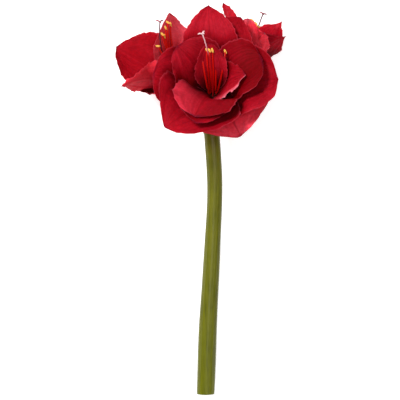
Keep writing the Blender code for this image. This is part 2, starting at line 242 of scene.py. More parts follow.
def sweep(name, points, radii, sides):
    # a bevelled curve with its own radius at every point, turned into a mesh
    curve = bpy.data.curves.new(name, "CURVE")
    curve.dimensions = "3D"
    curve.bevel_depth = 1
    curve.bevel_resolution = max(0, (sides - 4) // 2)
    curve.use_fill_caps = True
    curve.resolution_u = 1
    line = curve.splines.new("POLY")
    line.points.add(len(points) - 1)
    for point, place, radius in zip(line.points, points, radii):
        point.co = (*place, 1)
        point.radius = radius
    piece = bpy.data.objects.new(name, curve)
    bpy.context.scene.collection.objects.link(piece)
    setActive(piece)
    bpy.ops.object.convert(target="MESH")
    piece = bpy.context.object
    startEditing()
    bpy.ops.mesh.remove_doubles(threshold=mergeGap)
    closeEditing()
    return piece


def storeValues(piece, name, values):
    stored = piece.data.attributes.new(name, "FLOAT", "POINT")
    stored.data.foreach_set("value", np.asarray(values, np.float32))


# Stem
stemShape = {
    "length": 0.346,
    "bow": [(0, 0), (0.0042, -0.076), (0.0014, -0.150), (-0.0042, -0.250), (-0.0077, -0.346)],
    "radii": [0.0104, 0.0099, 0.0098, 0.0103, 0.0109, 0.0111, 0.0116, 0.0119, 0.0117],
    "wall": 0.0038,
    "rim": 0.0006,
    "hollowEnd": [(0.022, 0.0018), (0.0175, 0.0045)],  # depth below the crown, and how much narrower
    "fleshInset": 0.0021,  # faces this far inside the skin are flesh, from hollowTop down and at the cut
    "hollowTop": 0.0045,
    "cutBand": 0.0004,
    "sides": 40,
    "crownTop": 0.002,
    "crownStraight": 0.006,  # above this the stem doesn't bow
    "scarAt": 0.0065,
    "scarRise": 0.0007,
    "scarBand": (0.0056, 0.0071),
    "ribs": 11,
    "fineRibs": 23,
    "ribDepth": 0.00012,
    "unevenness": (0.00016, 0.0001),
    "smoothTop": 0.008,
}
stemLook = {
    "light": (0.152, 0.152, 0.004),
    "dark": (0.076, 0.082, 0.002),
    "top": (0.135, 0.106, 0.004),
    "foot": (0.150, 0.158, 0.001),
    "cut": (0.62, 0.66, 0.34),
    "fleshDots": (0.30, 0.36, 0.13),
    "fleshPale": (0.72, 0.74, 0.48),
    "scar": (0.20, 0.12, 0.035),
    "scarDark": (0.09, 0.05, 0.015),
    "roughness": 0.36,
    "colourSpan": (-0.25, 0.09),  # in y, from the foot's colour to the top's
}


def stemCentre(depth):
    return float(through([-p[1] for p in stemShape["bow"]], [p[0] for p in stemShape["bow"]], depth))


def stemRadius(depth):
    radii = stemShape["radii"]
    return float(through(np.linspace(0, stemShape["length"], len(radii)), radii, depth))


def stemRings():
    # each ring's depth, and how far it stands out of the plain radius: rim, shaft, scar of the sheath, crown
    length, rim, rise = stemShape["length"], stemShape["rim"], stemShape["scarRise"]
    rings = [(length, -rim), (length - rim, -0.0001)]
    rings += [(d, 0) for d in np.linspace(length - 0.003, 0.022, 44)]
    rings += [(0.016, 0), (0.012, 0), (0.0092, 0), (0.0078, 0.0002), (0.0070, rise),
              (stemShape["scarAt"], rise + 0.0001), (0.0059, 0.0001), (0.0050, -0.0001),
              (0.0032, -0.0001), (0.0025, -0.0005), (stemShape["crownTop"], -0.0012)]
    return rings


def selectCutEdge(piece):
    # the cut end's edge is the open ring
    bpy.ops.mesh.select_all(action="DESELECT")
    bpy.ops.mesh.select_mode(type="EDGE")
    bpy.ops.mesh.select_non_manifold(extend=False, use_boundary=True, use_wire=False, use_multi_face=False,
                                     use_non_contiguous=False, use_verts=False)
    bpy.ops.object.mode_set(mode="OBJECT")
    vertices = piece.data.vertices
    for edge in piece.data.edges:
        if edge.select and vertices[edge.vertices[0]].co.y > -stemShape["length"] + 0.001:
            edge.select = False
    for vertex in vertices:
        vertex.select = False
    for edge in piece.data.edges:
        if edge.select:
            for i in edge.vertices:
                vertices[i].select = True
    bpy.ops.object.mode_set(mode="EDIT")


def pullHollow():
    # the rim turns in, then the ring goes up the stem and closes under the crown
    length, wall = stemShape["length"], stemShape["wall"]
    rimRadius, boreRadius = stemRadius(length) - stemShape["rim"], stemRadius(length) - wall
    now = rimRadius
    for radius, rise in ((rimRadius - 0.0008, 0.0001), (boreRadius + 0.0012, 0.0001),
                         (boreRadius + 0.0004, 0.0003), (boreRadius, 0.001)):
        pullRing((0, rise, 0), (radius / now, 1, radius / now), (stemCentre(length), -length, 0))
        now = radius
    at = length - 0.0015
    for depth, less in [(d, 0) for d in np.linspace(length - 0.02, 0.03, 10)] + stemShape["hollowEnd"]:
        radius = stemRadius(depth) - wall - less
        pullRing((stemCentre(depth) - stemCentre(at), at - depth, 0), (radius / now, 1, radius / now),
                 (stemCentre(depth), -depth, 0))
        at, now = depth, radius
    pullRing((0, 0, 0), (0.001, 1, 0.001), (stemCentre(at), -at, 0))


def roughenStem(piece):
    # faint ribs and a slow unevenness on the outside, none at the crown
    places = vertexArray(piece)
    depth = np.clip(-places[:, 1], 0, stemShape["length"])
    centre = np.array([stemCentre(d) for d in depth])
    radial = np.stack([places[:, 0] - centre, np.zeros(len(places)), places[:, 2]], 1)
    reach = np.linalg.norm(radial, axis=1)
    turn = np.arctan2(places[:, 2], places[:, 0] - centre)
    outside = ease((reach - np.array([stemRadius(d) for d in depth]) + 0.0022) / 0.0012)
    slow, slower = stemShape["unevenness"]
    lift = stemShape["ribDepth"] * (np.cos(stemShape["ribs"] * turn + 6 * depth)
                                    + 0.6 * np.cos(stemShape["fineRibs"] * turn - 9 * depth))
    lift += slow * np.sin(2 * turn + 31 * depth) + slower * np.sin(3 * turn - 57 * depth + 1)
    lift *= outside * ease((depth - stemShape["smoothTop"]) / 0.02)
    setVertices(piece, places + radial / np.maximum(reach, 1e-6)[:, None] * lift[:, None])


def makeStem():
    # a ring at the cut end is pulled up to the crown, then a second one makes the hollow
    length, straight = stemShape["length"], stemShape["crownStraight"]
    rings = stemRings()
    bpy.ops.mesh.primitive_circle_add(vertices=stemShape["sides"], radius=stemRadius(length) + rings[0][1],
                                      location=(stemCentre(length), -length, 0), rotation=(math.pi / 2, 0, 0))
    piece = bpy.context.object
    piece.name = "flowerStem"
    bpy.ops.object.transform_apply()
    startEditing()
    last = rings[0]
    for ring in rings[1:]:
        fromX, toX = stemCentre(max(last[0], straight)), stemCentre(max(ring[0], straight))
        grow = (stemRadius(ring[0]) + ring[1]) / (stemRadius(last[0]) + last[1])
        pullRing((toX - fromX, last[0] - ring[0], 0), (grow, 1, grow), (toX, -ring[0], 0))
        last = ring
    for share in (0.75, 0.66, 0.5, 0.001):
        pullRing((0, 0, 0), (share, 1, share), (stemCentre(straight), -last[0], 0))
    selectCutEdge(piece)
    pullHollow()
    bpy.ops.mesh.select_all(action="SELECT")
    bpy.ops.mesh.remove_doubles(threshold=0.00003)
    closeEditing()
    applyModifier(piece, "SUBSURF", levels=1, render_levels=1)
    roughenStem(piece)
    return piece


def stemMaterial(name, look):
    # streaks along the stem over a colour that changes from the foot to the top
    material, tree, shader = newMaterial(name)
    place = objectPlace(tree)
    height = addNode(tree, "MapRange", Value=addPattern(tree, place, "SeparateXYZ")["Y"])
    low, high = look["colourSpan"]
    setSockets(height, {"From Min": low, "From Max": high})
    streak = addStreaks(tree, place, (330, 7, 330), Detail=4, Roughness=0.6)
    mottle = addPattern(tree, place, "TexNoise", Scale=38, Detail=5, Roughness=0.55)
    fine = addPattern(tree, place, "TexNoise", Scale=900, Detail=2)
    body = addRamp(tree, height.outputs[0], [(0.0, look["foot"]), (0.35, look["light"]), (0.9, look["light"]),
                                             (1.0, look["top"])])
    colour = addMasked(tree, streak["Fac"], (0.36, 0.0), (0.66, 1.0), look["dark"], body)
    colour = addMasked(tree, mottle["Fac"], (0.35, 0.15), (0.7, 0.75), colour, body)
    dullness = [(0.2, look["roughness"] - 0.06), (0.8, look["roughness"] + 0.14)]
    relief = addMix(tree, 0.35, streak["Color"], fine["Color"])
    setSockets(shader, {
        "Base Color": colour, "Roughness": addRamp(tree, mottle["Fac"], dullness),
        "Specular IOR Level": 0.22, "Subsurface Weight": 0.08, "Subsurface Radius": (0.004, 0.005, 0.001),
        "Subsurface Scale": 0.5, "Normal": addBump(tree, relief, 0.35, 0.0002)})
    return material


def cutMaterial(name, look):
    # wet pale flesh with the ends of its fibres
    material, tree, shader = newMaterial(name)
    place = objectPlace(tree)
    cells = addPattern(tree, place, "TexVoronoi", Scale=900)["Distance"]
    soft = addPattern(tree, place, "TexNoise", Scale=140, Detail=3)["Fac"]
    dots = addRamp(tree, cells, [(0.12, look["fleshDots"]), (0.4, look["cut"])])
    setSockets(shader, {
        "Base Color": addMix(tree, soft, dots, look["fleshPale"]), "Roughness": 0.42,
        "Subsurface Weight": 0.15, "Subsurface Radius": (0.004, 0.004, 0.002), "Subsurface Scale": 0.5,
        "Normal": addBump(tree, cells, 0.4, 0.0002)})
    return material


stem = makeStem()
stemGreen = stemMaterial("stemGreen", stemLook)
stemFlesh = cutMaterial("stemFlesh", stemLook)
scarLook = {**stemLook, "dark": stemLook["scarDark"], "roughness": 0.6}
for part in ("light", "foot", "top"):
    scarLook[part] = stemLook["scar"]
stemScar = stemMaterial("stemScar", scarLook)
stem.data.materials.clear()
for material in (stemGreen, stemFlesh, stemScar):
    stem.data.materials.append(material)
for face in stem.data.polygons:
    x, y, z = face.center
    depth = min(max(-y, 0), stemShape["length"])
    inside = math.hypot(x - stemCentre(depth), z) < stemRadius(depth) - stemShape["fleshInset"]
    if inside and y < -stemShape["hollowTop"] or y < -stemShape["length"] + stemShape["cutBand"]:
        face.material_index = 1
    elif stemShape["scarBand"][0] < -y < stemShape["scarBand"][1] and not inside:
        face.material_index = 2
finishPiece(stem, None, ["scape"])
print("stem done,", len(stem.data.polygons), "faces")


# Blooms, as the CAD has them: each petal is listed from the innermost out
petalShape = {
    "rows": 24,
    "columns": 16,
    "space": 0.0020,
    "pressReach": 0.020,
    "pressRounds": 10,
    "heldRoot": 0.16,  # share of the petal that isn't pressed in full
    "thickness": 0.0008,
    "finer": 4,
    "ribDepth": 0.00045,
    "ribWidth": 0.045,
    "veinDepth": 0.00007,
    "veins": 11,
    "foldDepth": 0.00022,
    "folds": (2.6, 4.3),
    "unevenness": 0.0009,
    "crinkle": 0.0008,
    "notch": 0.0007,
    "daylight": ([0.10, 0.21, 0.32, 0.45, 0.62], [0.0, 0.05, 0.30, 0.78, 1.0]),
    "outerRoot": 0.0082,  # a petal that starts further out than this is an outer one
    "tone": (),  # painted light and shade: overall, one side against the other, a highlighted lip, tip against root
    "stripes": 0.06,
    "stripeCount": 8.5,
    # painted shade next to the petal in front: how dark it is and how far it reaches
    "paintedGapShade": 1.0,
    "paintedGapReach": 0.005,
    "outlineAt": [0.0, 0.12, 0.30, 0.48, 0.65, 0.80, 0.91, 0.97, 1.0],
    "roundTip": [0.12, 0.26, 0.72, 0.97, 1.0, 0.88, 0.62, 0.34, 0.0],
    "sharpTip": [0.12, 0.26, 0.74, 1.0, 0.93, 0.64, 0.30, 0.10, 0.0],
}
plainPetal = dict(turn=90, rise=10, flare=80, length=0.10, width=0.07, sway=0, lean=0, twist=0,
                  cup=(70, 35, 25), ruffle=0.002, waves=2.0, phase=0.0, point=0.6, root=(0.006, 0.004))
outer, inner = (0.008, 0.004), (0.005, 0.006)
# each petal's tone paints light and shade into its colour
blooms = {
    "front": dict(
        throat=(0.0017, 0.0346, 0.030),
        facing=(0.0, 0.50, 0.866),
        stalkTurn=90,
        petals=dict(
            Spoon=dict(turn=103, rise=5, flare=45, length=0.079, width=0.047, sway=-9, lean=-4,
                       cup=(70, 50, 40), root=(0.004, 0.006), ruffle=0.001, phase=3.0, stripes=0.20,
                       tone=(0.15, 0)),
            Crest=dict(turn=344, rise=5, flare=56, length=0.073, width=0.054, sway=17, lean=5, twist=4,
                       root=(0.004, 0.006), waves=3.0, phase=4.0, stripes=0.20, crinkle=0.0020,
                       notch=0.0013, tone=(0.05, -0.3, -1.6)),
            Tongue=dict(turn=252, rise=16, flare=80, length=0.101, width=0.083, cup=(60, 24, 15), point=0.0,
                        root=(0.003, 0.007), ruffle=0.003, waves=2.6, phase=2.8, stripes=0.10,
                        tone=(0.1, -0.75)),
            InnerRight=dict(turn=7, rise=8, flare=73, length=0.094, width=0.079, sway=6, lean=1, twist=3,
                            point=-0.5, root=inner, phase=5.0, stripes=0.35, tone=(-0.1, 0.1, 0, -0.8)),
            InnerLeft=dict(turn=142, rise=8, flare=70, length=0.087, width=0.079, sway=-1, lean=-1,
                           twist=-1, point=0.1, root=inner, phase=0.9, tone=(0.0, 0, 0, 0.2)),
            Bottom=dict(turn=256, rise=18, flare=79, length=0.106, width=0.062, sway=-3, lean=2,
                        cup=(60, 24, 20), point=0.0, root=(0.007, 0.003), ruffle=0.003, waves=2.4,
                        phase=1.2, tone=(0.25, 0)),
            LowLeft=dict(turn=252, rise=18, flare=107, length=0.111, width=0.120, sway=-41, lean=2,
                         point=0.8, root=(0.008, 0.002), phase=3.4),
            Top=dict(turn=96, rise=8, flare=86, length=0.122, width=0.074, sway=-4, lean=-1, twist=-1,
                     cup=(60, 25, 20), point=0.8, root=outer, tone=(0.5, 0.1, 0, -0.45)),
            Upright=dict(turn=70, flare=85, length=0.112, width=0.079, sway=-8, lean=2, twist=2, point=0.8,
                         root=outer, phase=1.5, tone=(-0.1, 0)),
            Left=dict(turn=188, rise=14, flare=87, length=0.094, width=0.092, sway=-14, lean=-3, twist=-2,
                      point=0.0, root=outer, ruffle=0.003, phase=4.4, tone=(0.1, 0.15, 0, 0.2)),
            Right=dict(turn=341, rise=14, flare=90, length=0.102, width=0.104, sway=22, lean=3, twist=2,
                       point=0.1, root=outer, ruffle=0.003, phase=0.6, tone=(-0.05, -0.25)),
            LowRight=dict(turn=291, rise=18, flare=114, length=0.093, width=0.130, sway=5, point=0.8,
                          root=(0.009, 0.001), phase=2.2, tone=(1.2, 0)),
        ),
        stamens=[(-0.0142, 0.0270, 0.062), (-0.0085, 0.0300, 0.070), (-0.0048, 0.0262, 0.073),
                 (-0.0010, 0.0278, 0.071), (0.0028, 0.0296, 0.068), (0.0152, 0.0308, 0.064)],
        style=(-0.0136, 0.0300, 0.103),
        styleBend=((0.0, 0.004), (-0.0041, 0.012)),
        antherTurns=(110, 116, 124, 106, 112, 116),
        bulge=0.28,
    ),
    "left": dict(
        throat=(-0.0280, 0.0525, -0.008),
        facing=(-0.75, 0.52, 0.41),
        stalkTurn=210,
        petals=dict(
            Near=dict(turn=345, flare=50, length=0.064, width=0.044, phase=0.5, root=(0.003, 0.006)),
            NearTop=dict(turn=35, flare=55, length=0.064, width=0.042, phase=2.6, root=(0.003, 0.006)),
            Low=dict(turn=292, flare=55, length=0.106, width=0.052, sway=-10, lean=30, point=1.2,
                     ruffle=0.003, waves=2.5, phase=3.0, crinkle=0.0018, notch=0.0015, tone=(0.5, 0, 0.5)),
            Upper=dict(turn=76, flare=65, length=0.099, width=0.066, sway=5, lean=46, twist=89, point=0.2,
                       phase=2.0, tone=(1.5, 0)),
            Broad=dict(turn=179, flare=34, length=0.105, width=0.083, sway=-1, lean=4, twist=4, point=0.5,
                       ruffle=0.003, phase=1.0, tone=(-0.35, -0.1)),
            LowBack=dict(turn=222, flare=52, length=0.066, width=0.046, phase=4.0, root=outer,
                         tone=(2.6, 0)),
            Back=dict(turn=146, flare=90, length=0.094, width=0.060, phase=5.0, root=outer),
        ),
        stamens=[(0.0276, 0.0369, 0.081), (0.0244, 0.0457, 0.081), (0.0218, 0.0469, 0.075),
                 (0.0251, 0.0280, 0.080), (0.0231, 0.0286, 0.075), (0.0271, 0.0110, 0.078)],
        style=(0.0381, 0.0347, 0.0957),
        antherTurns=(118, 150, 104, 132, 100, 176),
    ),
    "right": dict(
        throat=(0.0346, 0.0628, -0.006),
        facing=(0.34, 0.93, 0.04),
        stalkTurn=330,
        petals=dict(
            NearLow=dict(turn=193, flare=75, length=0.087, width=0.040, sway=6, lean=-8, twist=-10,
                         phase=5.3, tone=(0.8, 0)),
            Near=dict(turn=170, flare=63, length=0.092, width=0.037, sway=3, lean=2, twist=2, phase=0.3,
                      tone=(0.9, 0, 0, 0.7)),
            Tall=dict(turn=107, flare=54, length=0.099, width=0.034, sway=21, lean=7, twist=10, point=0.9,
                      phase=1.0, tone=(0.4, 0)),
            Low=dict(turn=306, flare=45, length=0.083, width=0.057, sway=-8, lean=20, twist=7, point=1.2,
                     phase=4.3, tone=(-0.75, 0)),
            Side=dict(turn=327, flare=40, length=0.101, width=0.047, sway=8, lean=2, twist=1, point=1.2,
                      phase=3.3, tone=(0.25, 0)),
            Far=dict(turn=22, flare=60, length=0.088, width=0.060, point=0.7, phase=2.3),
        ),
        stamens=[(-0.0038, 0.0093, 0.079), (-0.0075, 0.0055, 0.077), (-0.0112, 0.0017, 0.076),
                 (-0.0059, -0.0012, 0.074), (0.0006, 0.0030, 0.072), (-0.0101, 0.0091, 0.074)],
        style=(-0.0042, -0.0016, 0.091),
        antherTurns=(140, 110, 125, 150, 100, 118),
    ),
}


def bloomFrame(bloom):
    forward = unit(bloom["facing"])
    up = np.array([0.0, 1.0, 0.0])
    up = unit(up - up.dot(forward) * forward)
    return np.array([np.cross(up, forward), up, forward])


def bloomPoint(bloom, local):
    return np.array(bloom["throat"]) + np.asarray(local, float) @ bloomFrame(bloom)


def petalGrid(bloom, values):
    # the petal's middle surface, in rows from its root to its tip
    p = dict(plainPetal, **values)
    right, up, forward = bloomFrame(bloom)
    turn = math.radians(p["turn"])
    out = math.cos(turn) * right + math.sin(turn) * up
    side = np.cross(forward, out)
    fine = 400
    s = np.linspace(0, 1, fine + 1)
    angle = np.radians(p["rise"] + (p["flare"] - p["rise"]) * s)[:, None]
    swing = np.radians(p["sway"] * s)[:, None]
    along = np.cos(angle) * forward + np.sin(angle) * (np.cos(swing) * out + np.sin(swing) * side)
    across = np.cos(swing) * side - np.sin(swing) * out
    rib = np.zeros((fine + 1, 3))
    rib[1:] = np.cumsum((along[1:] + along[:-1]) / 2, axis=0) * (p["length"] / fine)
    rib += bloomPoint(bloom, (0, 0, 0)) + p["root"][0] * out + p["root"][1] * forward
    s = np.linspace(0, 1, petalShape["rows"] + 1)
    pick = np.round(s * fine).astype(int)
    rib, along, across = rib[pick], along[pick], across[pick]
    inward = np.cross(along, across)
    inward /= np.linalg.norm(inward, axis=1)[:, None]
    across = np.cross(inward, along)
    roll = np.radians(p["lean"] + p["twist"] * s)[:, None]
    widthWay = np.cos(roll) * across + np.sin(roll) * inward
    depthWay = np.cos(roll) * inward - np.sin(roll) * across
    tip = np.array(petalShape["roundTip"]) * (1 - p["point"]) + np.array(petalShape["sharpTip"]) * p["point"]
    half = p["width"] / 2 * through(petalShape["outlineAt"], tip, s)
    cup = np.radians(through([0, 0.5, 1], p["cup"], s))[:, None]
    v = np.linspace(-1, 1, petalShape["columns"] + 1)[None, :]
    arc = np.maximum(np.abs(cup * v), 1e-6)
    flat = np.sign(v) * np.abs(v) * (np.sin(arc) / arc)
    lift = np.abs(v) * ((1 - np.cos(arc)) / arc)
    grow = ease((s - 0.12) / 0.35) * (1 - 0.5 * ease((s - 0.85) / 0.15))
    wave = p["ruffle"] * np.sin(2 * math.pi * p["waves"] * s[:, None] + p["phase"] + 1.9 * np.sign(v))
    wave = wave * np.abs(v)**2.2 * grow[:, None]
    return (rib[:, None, :] + (half[:, None] * flat)[..., None] * widthWay[:, None, :]
            + (half[:, None] * lift + wave)[..., None] * depthWay[:, None, :])


def neighbours(field, axis):
    padded = np.concatenate([field.take([0], axis), field, field.take([-1], axis)], axis)
    count = field.shape[axis]
    return padded.take(range(count), axis), padded.take(range(2, count + 2), axis)


def soften(field):
    for axis in (0, 1):
        before, after = neighbours(field, axis)
        field = (before + 2 * field + after) / 4
    return field


def widen(field):
    for axis in (0, 1):
        before, after = neighbours(field, axis)
        field = np.maximum(np.maximum(before, field), after)
    return field


def gridTree(grids):
    verts, faces = [], []
    for grid in grids:
        start = len(verts)
        rows, columns = grid.shape[:2]
        verts += [tuple(point) for point in grid.reshape(-1, 3)]
        for i in range(rows - 1):
            for j in range(columns - 1):
                a = start + i * columns + j
                faces += [(a, a + 1, a + columns), (a + 1, a + columns + 1, a + columns)]
    return BVHTree.FromPolygons(verts, faces)


def innerSide(grid):
    facing = np.cross(np.gradient(grid, axis=0), np.gradient(grid, axis=1))
    return facing / np.maximum(np.linalg.norm(facing, axis=2, keepdims=True), 1e-12)


def settlePetals(bloom):
    # each petal is pressed back where an earlier one is in its way
    placed, gaps = [], []
    reach, space = petalShape["pressReach"], petalShape["space"]
    hold = ease(np.linspace(0, 1, petalShape["rows"] + 1) / petalShape["heldRoot"])[:, None]
    for values in bloom["petals"].values():
        grid = petalGrid(bloom, values)
        if placed:
            tree = gridTree(placed)
            inward = innerSide(grid)
            inward[-1] = inward[-2]
            press = np.zeros(grid.shape[:2])
            wanted = np.zeros_like(press)
            for _ in range(petalShape["pressRounds"]):
                for at in np.ndindex(press.shape):
                    way = Vector(inward[at])
                    hit = tree.ray_cast(Vector(grid[at]) - way * (press[at] + reach), way, reach + space)
                    if hit[0] is not None:
                        wanted[at] = max(wanted[at], press[at] + reach + space - hit[3])
                press = soften(soften(widen(wanted * hold)))
            grid = grid - inward * press[..., None]
            grid[-1] = grid[-1, petalShape["columns"] // 2]
        # how near each point is to the earlier petals, for the painted shade there
        gap = np.full((*grid.shape[:2], 1), 1.0)
        if placed:
            for at in np.ndindex(grid.shape[:2]):
                gap[at] = tree.find_nearest(Vector(grid[at]))[3]
        placed.append(grid)
        gaps.append(gap)
    return placed, gaps


def refine(grid, times):
    # a smooth surface through the same points, in smaller steps
    for axis in (0, 1):
        count = grid.shape[axis]
        before = 2 * grid.take([0], axis) - grid.take([1], axis)
        after = 2 * grid.take([-1], axis) - grid.take([-2], axis)
        padded = np.concatenate([before, grid, after], axis)
        at = np.linspace(0, count - 1, (count - 1) * times + 1)
        k = np.minimum(at.astype(int), count - 2)
        t = (at - k).reshape((-1, 1, 1) if axis == 0 else (1, -1, 1))
        a, b, c, d = (padded.take(k + step, axis) for step in range(4))
        grid = b + t / 2 * (c - a + t * (2 * a - 5 * b + 4 * c - d + t * (3 * (b - c) + d - a)))
    return grid


def gridPiece(name, grid):
    # a flat grid whose points are put on the petal's surface
    rows, columns = grid.shape[:2]
    bpy.ops.object.select_all(action="DESELECT")
    bpy.ops.mesh.primitive_grid_add(x_subdivisions=columns - 1, y_subdivisions=rows - 1, size=1)
    piece = bpy.context.object
    piece.name = name
    flat = vertexArray(piece)
    column = np.round((flat[:, 0] + 0.5) * (columns - 1)).astype(int)
    row = np.round((flat[:, 1] + 0.5) * (rows - 1)).astype(int)
    setVertices(piece, grid[row, column])
    startEditing()
    bpy.ops.mesh.remove_doubles(threshold=mergeGap)  # the tip's row is one point
    bpy.ops.mesh.flip_normals()  # faces the throat
    bpy.ops.object.mode_set(mode="OBJECT")
    return piece


def petalShares(mesh):
    # each vertex's place on the petal by its UV: -1 to 1 across, 0 to 1 from root to tip
    uv = np.zeros(len(mesh.loops) * 2)
    mesh.uv_layers.active.data.foreach_get("uv", uv)
    corner = np.zeros(len(mesh.loops), int)
    mesh.loops.foreach_get("vertex_index", corner)
    share = np.zeros((len(mesh.vertices), 2))
    share[corner] = uv.reshape(-1, 2)
    return np.clip(share[:, 0] * 2 - 1, -1, 1), np.clip(share[:, 1], 0, 1)


def swayed(v, s, phase):
    return v + 0.05 * np.sin(5 * s + phase)


def petalRelief(v, s, phase, shape):
    # rib, veins, folds, slow unevenness and a crinkled margin, along the inner face's normal
    start = ease(s / 0.2)
    calm = start * (1 - ease((s - 0.8) / 0.2))
    bend = swayed(v, s, phase)
    lift = -shape["ribDepth"] * np.exp(-(v / shape["ribWidth"])**2) * start * (1 - s)**0.4
    lift += shape["veinDepth"] * np.cos(2 * math.pi * shape["veins"] * v) * calm
    broad, narrow = shape["folds"]
    lift += shape["foldDepth"] * calm * (np.cos(2 * math.pi * broad * bend)
                                         + 0.5 * np.cos(2 * math.pi * narrow * bend + phase))
    swell = np.sin(7.0 * s + 2.3 * v + phase) * np.sin(3.1 * v - 4.0 * s + 2 * phase)
    lift += shape["unevenness"] * start * (swell + 0.5 * np.sin(13 * s - 5 * v + 3 * phase))
    edge = np.abs(v)**6 * ease((s - 0.15) / 0.3)
    ripple = np.sin(23 * s + 2 * phase + v) * np.sin(9 * s + phase) + 0.4 * np.sin(53 * s - phase + 2 * v)
    return lift + shape["crinkle"] * edge * ripple


def petalNibble(v, s, phase, shape):
    # the margin itself is nibbled in and out by a little
    side = np.sign(v)
    nibble = np.sin(61 * s + 3 * phase + side) * np.sin(17 * s + phase) + 0.6 * np.sin(113 * s + phase * side)
    return shape["notch"] * np.abs(v)**8 * ease((s - 0.12) / 0.2) * (1 - ease((s - 0.9) / 0.1)) * nibble


def marginWays(grid):
    # in each row, the way out of the petal at its two margins
    ways = np.stack([grid[:, 0] - grid[:, 2], grid[:, -1] - grid[:, -3]], 1)
    size = np.linalg.norm(ways, axis=2, keepdims=True)
    return np.where(size > mergeGap, ways / np.maximum(size, mergeGap), 0)


def paintedPetalLight(v, s, near, phase, shape):
    # painted light and shade: how light this petal is painted overall, one side against the other, a painted
    # highlight on the lip, the tip against the root, its stripes, and painted shade close to the petal in
    # front of it
    base, slope, paintedLipLight, tipTone = (*shape["tone"], 0, 0, 0, 0)[:4]
    lip = ease((v * np.sign(paintedLipLight) - 0.45) / 0.5) * ease((s - 0.25) / 0.3)
    shade = base + slope * v + abs(paintedLipLight) * lip + tipTone * (2 * s - 1)
    wander = 2.2 * np.sin(4 * s + 5 * v) + np.sin(19 * v + phase)
    stripes = 0.5 + 0.5 * np.cos(2 * math.pi * shape["stripeCount"] * swayed(v, s, phase) + wander)
    shade -= shape["stripes"] * stripes**2 * ease(s / 0.2) * (1 - np.abs(v)**4)
    return shade - shape["paintedGapShade"] * np.exp(-np.maximum(near - shape["space"], 0) / shape["paintedGapReach"])


def makePetal(name, grid, gap, values):
    shape = {**petalShape, **plainPetal, **values}
    grid, gap = refine(grid, shape["finer"]), refine(gap, shape["finer"])[..., 0]
    rows, columns = grid.shape[:2]
    piece = gridPiece(name, grid)
    normal = np.zeros(len(piece.data.vertices) * 3)
    piece.data.vertices.foreach_get("normal", normal)
    v, s = petalShares(piece.data)
    row, column = np.round(s * (rows - 1)).astype(int), np.round((v + 1) / 2 * (columns - 1)).astype(int)
    phase = shape["phase"] + 0.7 * len(name)
    lift, push = petalRelief(v, s, phase, shape), petalNibble(v, s, phase, shape)
    edgeWay = marginWays(grid)[row, np.where(v < 0, 0, 1)]
    setVertices(piece, vertexArray(piece) + normal.reshape(-1, 3) * lift[:, None] + edgeWay * push[:, None])
    storeValues(piece, "tone", paintedPetalLight(v, s, gap[row, column], phase, shape))
    # painted shade: low daylight near the root paints the throat's shade into the colour
    daylight = np.interp(s, *shape["daylight"])
    if math.hypot(*shape["root"]) > shape["outerRoot"]:
        daylight = 0.35 + 0.65 * daylight  # an outer petal gets less painted throat shade at its root
    storeValues(piece, "daylight", daylight)
    thin = piece.vertex_groups.new(name="thin")
    weight = np.clip(1 - 0.8 * np.maximum(np.abs(v)**10, ease((s - 0.93) / 0.07)), 0.1, 1)
    for i, value in enumerate(weight):
        thin.add([i], float(value), "REPLACE")
    applyModifier(piece, "SOLIDIFY", thickness=shape["thickness"], offset=0, vertex_group="thin",
                  thickness_vertex_group=0.0, material_offset=1, material_offset_rim=2)
    return piece


# the bright and pink colours are painted light and the deep one is partly painted shade, each mixed in by the
# stored tone; the throat colour is painted throat shade
petalLook = {
    "front": dict(face=(0.44, 0.004, 0.015), deep=(0.17, 0.0, 0.002), throat=(0.002, 0.0, 0.0),
                  back=(0.36, 0.004, 0.014), paintedLitRed=(0.76, 0.034, 0.064), paintedLitPink=(0.84, 0.19, 0.24),
                  margin=(0.58, 0.045, 0.075)),
    "left": dict(face=(0.50, 0.006, 0.018), deep=(0.22, 0.0, 0.003), throat=(0.13, 0.0, 0.002),
                 back=(0.42, 0.005, 0.016), paintedLitRed=(0.90, 0.040, 0.066), paintedLitPink=(0.92, 0.16, 0.21),
                 margin=(0.60, 0.050, 0.080)),
    "right": dict(face=(0.52, 0.005, 0.018), deep=(0.16, 0.0, 0.004), throat=(0.12, 0.0, 0.002),
                  back=(0.42, 0.005, 0.016), paintedLitRed=(0.92, 0.045, 0.075), paintedLitPink=(0.92, 0.18, 0.24),
                  margin=(0.58, 0.050, 0.080)),
    "root": (0.30, 0.045, 0.018),
    "tip": (0.10, 0.004, 0.018),
    "crepe": (0.80, 0.70, 0.76),
    "roughness": 0.58,
}


